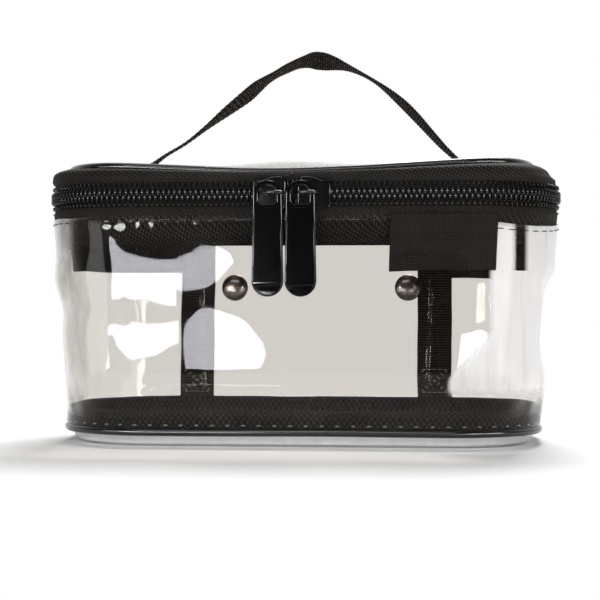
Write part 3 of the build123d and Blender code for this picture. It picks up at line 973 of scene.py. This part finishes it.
class BAG_OT_zip_coils(bpy.types.Operator):
    """Two rows of nylon coil, one turn at a time"""

    bl_idname = "toiletry_bag.zip_coils"
    bl_label = "Zip Coils"

    def execute(self, context):
        zips = context.scene.bag_zip
        for name, body, side in (("lower", "bag", -1), ("upper", "lid", 1)):
            points = [(side * x, y, side * z) for x, y, z, _ in TURN]
            turn = rod(points, [radius for *_, radius in TURN], 6, Vector((1, 0, 0)))
            places = []
            for step in range(zips.turns):
                along = COIL_START + (step + 0.75 + side * 0.25) * zips.pitch
                point, outward = around(along, ZIP)
                if point.y < 0:
                    point.z += side * coil_parting(point.x, side)
                places.append(upright(point, outward))
            coil = repeated(turn, places)
            keep(coil, f"{name}_coil", body, "coil", [f"zip_teeth_{name}"])
        return {"FINISHED"}


def slider_outline(points, side):
    """Closed outline of a slider's plate from distances and half heights."""
    upper = [(MEETING_X + side * s, ZIP + h) for s, h in points]
    return upper + [(x, 2 * ZIP - z) for x, z in reversed(upper)]


class BAG_OT_sliders(bpy.types.Operator):
    """Both sliders, with their folded flanges and bails"""

    bl_idname = "toiletry_bag.sliders"
    bl_label = "Sliders"

    def execute(self, context):
        body = [(2.85, 5.2), (3.6, 6.9), (5.05, 7.9), (WIDE_END, 7.9), (11.0, 7.2)]
        body += [(NARROW_START, 6.0), (17.65, 6.0)]
        channel = [(1.6, 7.1), (WIDE_END, 7.1), (NARROW_START, 5.2), (18.9, 5.2)]
        neck = [(3.4, 0.8), (5.6, 0.8), (7.8, 0.2)]
        for name, side in (("left_slider", -1), ("right_slider", 1)):
            shell = plate([slider_outline(body, side)], -60.5, -57.3, 0.45)
            cut = plate([slider_outline(channel, side)], -59.3, -57.0, 0.0)
            rear = plate([slider_outline(body, side)], -56.1, -54.9, 0.3)
            post = plate([slider_outline(neck, side)], -59.5, -56.0, 0.0)
            low, high = sorted(MEETING_X + side * s for s in (2.9, 12.3))
            # The bail: inset from its ends, y and radius, on both halves
            half = ((0.9, -60.2, 0.8), (0.8, -62.6, 0.85), (1.5, -63.9, 0.9), (2.8, -64.5, 0.95))
            line = [(low + inset, y, ZIP + 0.4) for inset, y, _ in half]
            line += [(high - inset, y, ZIP + 0.4) for inset, y, _ in reversed(half)]
            radii = [radius for *_, radius in half]
            bail = rod(line, radii + radii[::-1], 12, UP)
            steps = [("DIFFERENCE", cut), ("UNION", rear), ("UNION", post), ("UNION", bail)]
            whole = combined(shell, steps)
            keep(
                whole, f"{name}_body", name, "slider", [name], smooth=35, flat=True
            )
        return {"FINISHED"}


class BAG_OT_pulls(bpy.types.Operator):
    """Long pulls with an arched eye and a raised grip"""

    bl_idname = "toiletry_bag.pulls"
    bl_label = "Pulls"

    def execute(self, context):
        end, arch_z, corner = 70.0, 116.55, 1.2
        half, end_half, eye, eye_bottom = 6.45, 7.35, 4.35, 112.2
        for name, leg_x in (("left_pull", -6.9), ("right_pull", 8.15)):
            x = leg_x + 1.05 - half
            outline = arc((x, arch_z), half, 0, 180, 20)
            outline += arc((x, end + end_half), end_half, 180, 360, 24)
            hole = arc((x, arch_z), eye, 0, 180, 16)
            hole += arc((x - eye + corner, eye_bottom + corner), corner, 180, 270, 4)
            hole += arc((x + eye - corner, eye_bottom + corner), corner, 270, 360, 4)
            body = plate([outline, hole], -63.0, -61.2, 0.55, 3)
            step, inset, front, back, slope_top = 110.5, 0.5, -63.55, -62.6, 76.4
            grip_line = [(x + half - inset + 0.05, step), (x - half + inset - 0.05, step)]
            grip_line += arc((x, end + end_half), end_half - inset, 180, 360, 24)
            grip = plate([grip_line], front, back, 0.0)
            cut = grip.verts[:] + grip.edges[:] + grip.faces[:]
            bmesh.ops.bisect_plane(grip, geom=cut, plane_co=UP * slope_top, plane_no=UP)
            for vert in grip.verts:
                if vert.co.y < front + 0.35 and vert.co.z < slope_top:
                    vert.co.y += 0.85 * (slope_top - vert.co.z) / 6.0
            rims = [
                e
                for e in grip.edges
                if len(e.link_faces) == 2
                and max(v.co.y for v in e.verts) < back - 0.05
                and e.calc_face_angle() > math.radians(50)
            ]
            bmesh.ops.bevel(
                grip, geom=rims, offset=0.3, segments=3, profile=0.5, affect="EDGES", material=-1
            )
            whole = combined(body, [("UNION", grip)])
            keep(whole, f"{name}_plate", name, "pull", [name], smooth=32, flat=True)
        return {"FINISHED"}


class BAG_OT_hinge(bpy.types.Operator):
    """Fabric hinge across the back"""

    bl_idname = "toiletry_bag.hinge"
    bl_label = "Hinge"

    def execute(self, context):
        def soft(distance, point, outward, level):
            return outward * 0.25 * ripple(point, 14, 17) * ramp(0.5 - abs(level - 0.5), 0, 0.3)

        profile = [(1.8, 106.3 + 20.7 * i / 12) for i in range(13)]
        panel = band(profile, -HINGE_END, HINGE_END, 90, soft, 1)
        piece = keep(
            panel, "hinge_fabric", "bag", "band", ["hinge_panel"], 0.7, rides=False
        )
        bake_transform(piece)
        return {"FINISHED"}


def lid_sag(distance, sag):
    """Height that the lid's edge gains or loses along its run."""
    front = hump(distance, FRONT_MIDDLE - 6, 62)
    right = hump(distance, front_distance(95), 45)
    left = hump(distance, front_distance(-95), 35)
    return -sag * front + 1.3 * right + 0.2 * left


class BAG_OT_lid(bpy.types.Operator):
    """Gusset, piping, clear panel and inner binding of the lid"""

    bl_idname = "toiletry_bag.lid"
    bl_label = "Lid"

    def execute(self, context):
        film, cloth = context.scene.bag_film, context.scene.bag_cloth

        def gusset_drift(distance, point, outward, level):
            bulge = 0.5 * ripple_at(distance, point.z * 1.5, 24, 18)
            edge = lid_sag(distance, cloth.sag) * ramp(level, 0.15, 1.0)
            lobe = 1.6 if outward.x < 0 else 0.6
            side = outward.x**2 * (lobe * hump(level, 0.6, 0.3) - 0.4 * hump(level, 0.0, 0.2))
            side += lid_tuck(outward) * ramp(level, 0.0, 0.55)
            edge -= 1.9 * (1 - outward.x**2) * ramp(level, 0.55, 1.0)
            return outward * (bulge * hump(level, 0.5, 0.4) + side) + UP * edge

        profile = [(0.1, 122.6), (0.3, 123.6), (0.8, 124.8), (1.4, 126.2), (2.4, 127.8)]
        profile += [(3.2, 129.2), (3.2, 130.3), (2.2, 131.3), (0.9, 131.7)]
        gusset = band(profile, 0, GIRTH, 280, gusset_drift)
        keep(gusset, "lid_fabric", "lid", "band", ["lid_gusset"], 0.7)

        def cord_drift(distance, point, outward, level):
            wander = 0.3 * ripple_at(distance, 0, 45, 19)
            rise = lid_sag(distance, cloth.sag) + wander
            return UP * rise + outward * (wander + lid_tuck(outward))

        cord = ring_cord(LID_SEAM, 0.0, cord_drift)
        keep(cord, "lid_cord", "lid", "piping", ["lid_piping"])

        # Share of the panel that hangs down inside the seam
        hem = 0.15

        def panel_place(share, level):
            distance = GIRTH * share
            edge, outward = around(distance, LID_SEAM, -1.9)
            edge += outward * lid_tuck(outward)
            spine = Vector((max(-62.0, min(62.0, edge.x)), 0.0, LID_SEAM))
            if level < hem:
                fall = (1 - level / hem) * 6.0
                return edge + UP * (lid_sag(distance, cloth.sag) - fall)
            inner = (level - hem) / (1 - hem)
            point = edge.lerp(spine, inner)
            drape = lid_sag(distance, cloth.sag) * (1 - ramp(inner, 0.0, 0.75))
            swell = 4.8 * ramp(inner, 0.0, 0.8) * hump(point.x, -7, 46)
            feet = min(1.0, hump(point.x, -83, 20) + hump(point.x, 81, 20)) * ramp(inner, 0.3, 0.6)
            rumple = 0.3 * ripple(point, 30, 20) * ramp(inner, 0.05, 0.4) * (1 - feet)
            point.z += drape - 0.2 + (swell + rumple) * (1 - feet)
            return point

        panel = sheet(240, 30, panel_place, (GIRTH, 55.0))
        keep(panel, "lid_film", "lid", "film", ["lid_panel"], film.wall)

        def under(distance, point, outward, level):
            tuck = lid_tuck(outward) * ramp(point.z, 122, 127)
            return outward * tuck + UP * (0.8 * lid_sag(distance, cloth.sag))

        inner = [(-1.1, 128.8), (-1.2, 124.0), (-1.9, 122.2), (-3.3, 124.0), (-3.4, 129.2)]
        tape = band(inner, 0, GIRTH, 240, under, level_at=LID_SEAM)
        keep(tape, "lid_edge_tape", "lid", "binding", ["lid_binding"], 0.5)
        return {"FINISHED"}


RIBS, RIB_PITCH = 134, 1.95
HANDLE_WIDTH = 15.0
PATCH_HALF = 11.0

# Middle line of the handle: x, height, and the webbing's twist in degrees
HANDLE_LINE = (
    (-92.0, 133.6, 0.0), (-84.0, 133.6, 0.0), (-77.5, 135.6, 4.0), (-70.0, 140.7, 8.0),
    (-60.0, 146.6, 9.0), (-50.0, 154.1, 4.0), (-40.0, 161.8, -6.0), (-30.0, 169.3, -13.0),
    (-24.5, 174.0, -11.0), (-20.0, 177.3, -5.0), (-15.0, 180.2, -2.0), (-10.0, 182.8, -5.0),
    (-5.0, 185.0, -7.0), (0.0, 186.3, -14.0), (4.5, 186.7, -25.0), (9.5, 186.2, -25.0),
    (14.5, 185.2, -16.0), (19.5, 183.6, -6.0), (24.5, 181.4, 0.0), (29.5, 178.8, 3.0),
    (34.5, 175.7, 2.0), (39.5, 172.0, -3.0), (44.5, 167.8, -8.0), (49.5, 163.2, -11.0),
    (54.5, 158.0, -11.0), (59.5, 152.4, -9.0), (64.5, 146.8, -7.0), (69.5, 141.6, -4.0),
    (75.5, 136.4, -1.0), (81.5, 133.8, 0.0), (91.0, 133.6, 0.0),
)


def smooth_line(rows, share):
    """Row of numbers at a share of the line, by a Catmull-Rom curve through the rows."""
    spot = share * (len(rows) - 1)
    index = min(int(spot), len(rows) - 2)
    t = spot - index
    near = [rows[min(max(index + k, 0), len(rows) - 1)] for k in (-1, 0, 1, 2)]
    line = []
    for a, b, c, d in zip(*near):
        square, cube = 2 * a - 5 * b + 4 * c - d, 3 * b - a - 3 * c + d
        line.append(0.5 * (2 * b + (c - a) * t + square * t**2 + cube * t**3))
    return line


class BAG_OT_handle(bpy.types.Operator):
    """Twisted webbing handle and the patches under its sewn ends"""

    bl_idname = "toiletry_bag.handle"
    bl_label = "Handle"

    def execute(self, context):
        def place(share, level):
            x, z, twist = smooth_line(HANDLE_LINE, level)
            ahead = smooth_line(HANDLE_LINE, min(1.0, level + 0.004))
            behind = smooth_line(HANDLE_LINE, max(0.0, level - 0.004))
            forward = Vector((ahead[0] - behind[0], 0, ahead[1] - behind[1])).normalized()
            turn = Matrix.Rotation(math.radians(twist), 3, forward)
            across = turn @ Vector((0, 1, 0))
            normal = forward.cross(across)
            edge = 2 * math.pi * share
            over = math.copysign(abs(math.cos(edge)) ** 0.45, math.cos(edge)) * HANDLE_WIDTH / 2
            rib = abs(math.sin(math.pi * level * RIBS))
            flat = across * (over + 0.35 * rib * math.cos(edge))
            return Vector((x, 0, z)) + (flat + normal * math.sin(edge) * (0.62 + 0.22 * rib))

        webbing = webbing_strip(RIBS * 8, place, (33.0, RIBS * RIB_PITCH))
        nodes = ["handle", "left_handle_foot", "right_handle_foot"]
        piece = keep(
            webbing, "carry_handle", "handle", "handle", nodes, rides=False
        )
        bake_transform(piece)

        for side, x in (("left", -83.0), ("right", 81.5)):

            def patch_place(share, level):
                px, py = (share * 2 - 1) * PATCH_HALF, (level * 2 - 1) * PATCH_HALF
                round_off = 1 - 0.05 * (px * py / PATCH_HALF**2) ** 4
                lift = 0.12 * ripple(Vector((px, py, x)), 7, 22)
                return Vector((x + px * round_off, py * round_off, 132.2 + lift))

            patch = sheet(20, 20, patch_place, (2 * PATCH_HALF, 2 * PATCH_HALF))
            nodes = [f"{side}_handle_patch"]
            keep(patch, f"{side}_patch", "lid", "band", nodes, 0.7)
        return {"FINISHED"}


# Lines sewn at each strap's foot, from its middle: a box with a cross in it
STRAP_CROSS = (
    ((-7.0, 20.0), (7.0, 20.0)),
    ((-7.0, 32.0), (7.0, 32.0)),
    ((-7.0, 20.0), (7.0, 32.0)),
    ((-7.0, 32.0), (7.0, 20.0)),
)


class BAG_OT_stitches(bpy.types.Operator):
    """Thread stitches along the seams"""

    bl_idname = "toiletry_bag.stitches"
    bl_label = "Stitches"

    def execute(self, context):
        sag = context.scene.bag_cloth.sag

        def row(height, outset, pitch, start=0.0, end=GIRTH, rise=None):
            count = int((end - start) / pitch)
            places = []
            for step in range(count):
                distance = start + (step + 0.5) * pitch
                point, outward = around(distance, height, outset)
                if rise:
                    point.z += rise(distance)
                if height < 12:
                    point += outward * foot_spread(outward, height)
                if height > 120:
                    point += outward * 0.72 * lid_tuck(outward)
                places.append(upright(point, outward))
            return places

        seam = STRAP_X + STRAP_WIDTH / 2
        wall_top = row(104.6, 1.45, 6.6, seam, GIRTH - seam, edge_droop)
        stitch_row("wall_top_stitches", "bag", wall_top, 4.3)
        # The base stitches use the much lighter thread, which is a painted glint
        stitch_row("base_stitches", "bag", row(10.4, 1.25, 7.8), 1.6, 0.5, "bright_thread")
        ends = SEWN_START, GIRTH - SEWN_START
        stitch_row("band_stitches", "bag", row(109.6, 0.95, 4.2, *ends), 2.8)
        lid = row(125.9, 1.3, 4.2, *ends, lambda distance: 0.3 * lid_sag(distance, sag))
        stitch_row("lid_stitches", "lid", lid, 2.8)
        cross = []
        for middle in (-STRAP_X, STRAP_X):
            for start, end in STRAP_CROSS:
                line = Vector(end) - Vector(start)
                turn = Matrix.Rotation(-math.atan2(line.y, line.x), 4, "Y")
                count = round(line.length / 2.6)
                for step in range(count):
                    x, height = Vector(start) + line * (step + 0.5) / count
                    y = outline_at(height)[1] / 2 + 1.55
                    face = Matrix.Rotation(math.pi, 4, "Z") @ turn
                    cross.append(Matrix.Translation((middle + x, y, height)) @ face)
        # The strap stitches use the much lighter thread, which is a painted glint
        stitch_row("strap_stitches", "bag", cross, 1.9, 0.5, "bright_thread")
        label = row(105.6, 2.45, 3.4, *(front_distance(x) for x in (44.5, 91.5)))
        stitch_row("label_stitches", "bag", label, 2.3, 0.36)
        return {"FINISHED"}


# Softboxes: name, place, size and share of the main power
LAMPS = (
    ("back_box", (0.18, 1.10, 1.70), (0.80, 0.80), 12.0),
    ("top_box", (-0.1, 0.0, 1.0), (0.9, 0.7), 0.5),
    ("front_box", (-0.15, -0.85, 0.62), (0.5, 0.2), 0.5),
    ("right_panel", (0.72, -0.5, 0.08), (0.3, 0.4), 0.75),
    ("left_panel", (-0.72, -0.5, 0.08), (0.25, 0.4), 0.3),
    ("left_glint", (-0.48, -0.80, 0.20), (0.46, 0.07), 0.9),
    ("right_glint", (0.50, -0.78, 0.20), (0.40, 0.07), 0.7),
)

# Low boxes in front of the bag, which the film mirrors: name, shape, place, size and roll
REFLECTORS = (
    ("upper_left_box", "RECTANGLE", (-0.457, -0.9, 0.103), (0.5, 0.058), 0.0),
    ("upper_end_box", "ELLIPSE", (-0.190, -0.9, 0.112), (0.09, 0.044), 8.0),
    ("dome_box", "ELLIPSE", (-0.152, -0.9, 0.028), (0.086, 0.092), 0.0),
    ("lower_left_box", "RECTANGLE", (-0.6, -0.9, 0.008), (0.8, 0.024), 4.7),
    ("lower_right_box", "RECTANGLE", (0.375, -0.9, -0.004), (0.56, 0.036), -4.0),
)

# Measures of the stage in metres: the floor fades out from a distance, at a rate
FLOOR_RADIUS, FADE_START, FADE_RATE = 2.6, 0.22, 6.5
CAMERA_AWAY, CAMERA_HEIGHT, CAMERA_SHIFT = 0.7575, 0.0685, -0.0105
LAMP_AIM = Vector((0, 0, 0.06))
REFLECTION = (0.93, 0.93, 1.0)


class BAG_OT_stage(bpy.types.Operator):
    """Pale floor, soft light and the camera"""

    bl_idname = "toiletry_bag.stage"
    bl_label = "Stage"

    def execute(self, context):
        studio = context.scene.bag_studio
        bm = bmesh.new()
        bmesh.ops.create_circle(bm, cap_ends=True, segments=96, radius=FLOOR_RADIUS)
        floor = linked("floor", mesh_of(bm, "floor"))
        finish = Finish("floor")
        place = finish.node("TexCoord", {}, {}, 3)
        reach = finish.node("VectorMath", {"operation": "LENGTH"}, {0: place}, 1)
        fade = ((reach - FADE_START) * FADE_RATE).limit(0.0, 1.0)
        matt = finish.node("BsdfDiffuse", {}, {"Color": (*studio.floor, 1.0)})
        clear = finish.node("BsdfTransparent")
        floor.data.materials.append(finish.done(finish.mix(fade, matt, clear)))

        # Camera rays see white, diffuse rays a dim sky and mirrors a room that is dark in front
        sky = Finish("studio", "worlds")
        context.scene.world = sky.data
        behind = sky.node("SeparateXYZ", {}, {0: sky.node("TexCoord")}, 1)
        inputs = {"Value": behind, "From Min": -0.25, "From Max": 0.6, "To Min": studio.front}
        level = sky.node("MapRange", {}, inputs)
        for ray, value in (("Is Diffuse Ray", studio.sky), ("Is Camera Ray", 1.0)):
            inputs = {"Value": sky.node("LightPath", {}, {}, ray), "To Min": level, "To Max": value}
            level = sky.node("MapRange", {}, inputs)
        light = sky.node("Background", {}, {"Color": WHITE, "Strength": level})
        sky.done(light, "OutputWorld")

        for name, place, size, share in LAMPS:
            lamp = self.softbox(name, place, size, studio.key * share)
            lamp.visible_diffuse = not name.endswith("glint")
        for name, shape, place, size, roll in REFLECTORS:
            round_share = math.pi / 4 if shape == "ELLIPSE" else 1.0
            power = studio.shine * size[0] * size[1] * round_share * math.pi
            lamp = self.softbox(name, place, size, power)
            lamp.data.shape = shape
            lamp.rotation_euler = (math.radians(90), -math.radians(roll), 0)
            lamp.data.color = REFLECTION
            lamp.visible_diffuse = False

        data = bpy.data.cameras.new("view")
        data.lens, data.sensor_width = studio.lens, 36.0
        data.shift_x = CAMERA_SHIFT
        data.clip_start, data.clip_end = 0.05, 20.0
        camera = linked("view", data)
        turn = math.radians(studio.turn)
        x, y = CAMERA_AWAY * math.sin(turn), -CAMERA_AWAY * math.cos(turn)
        camera.location = (x, y, CAMERA_HEIGHT)
        camera.rotation_euler = (math.radians(90), 0, turn)
        context.scene.camera = camera
        context.scene.view_settings.view_transform = "Standard"
        return {"FINISHED"}

    def softbox(self, name, place, size, power):
        """Rectangular light that faces the bag."""
        data = bpy.data.lights.new(name, "AREA")
        data.shape, data.size, data.size_y = "RECTANGLE", size[0], size[1]
        data.energy = power
        lamp = linked(name, data)
        lamp.location = place
        aim = LAMP_AIM - Vector(place)
        lamp.rotation_euler = aim.to_track_quat("-Z", "Y").to_euler()
        return lamp


class BAG_PT_pieces(bpy.types.Panel):
    """Lists the bag's pieces and settings"""

    bl_idname = "BAG_PT_pieces"
    bl_label = "Toiletry Bag"
    bl_space_type = "VIEW_3D"
    bl_region_type = "UI"
    bl_category = "Toiletry Bag"

    def draw(self, context):
        for group in SETTINGS:
            settings = getattr(context.scene, group)
            box = self.layout.box()
            for name in settings.bl_rna.properties.keys():
                if name not in ("rna_type", "name"):
                    box.prop(settings, name)
        for operator in OPERATORS:
            self.layout.operator(operator.bl_idname)


SETTINGS = {
    "bag_film": BagFilm,
    "bag_cloth": BagCloth,
    "bag_zip": BagZip,
    "bag_studio": BagStudio,
}
OPERATORS = (
    BAG_OT_stage, BAG_OT_clear_walls, BAG_OT_base, BAG_OT_bands, BAG_OT_straps,
    BAG_OT_press_studs, BAG_OT_label, BAG_OT_zip_tapes, BAG_OT_zip_coils, BAG_OT_sliders,
    BAG_OT_pulls, BAG_OT_hinge, BAG_OT_lid, BAG_OT_handle, BAG_OT_stitches,
)


def register():
    for cls in (*SETTINGS.values(), *OPERATORS, BAG_PT_pieces):
        bpy.utils.register_class(cls)
    for name, group in SETTINGS.items():
        setattr(bpy.types.Scene, name, PointerProperty(type=group))


def unregister():
    for name in SETTINGS:
        delattr(bpy.types.Scene, name)
    for cls in reversed((*SETTINGS.values(), *OPERATORS, BAG_PT_pieces)):
        bpy.utils.unregister_class(cls)


def main():
    register()
    for operator in OPERATORS:
        group, name = operator.bl_idname.split(".")
        getattr(getattr(bpy.ops, group), name)()


if __name__ == "__main__":
    main()
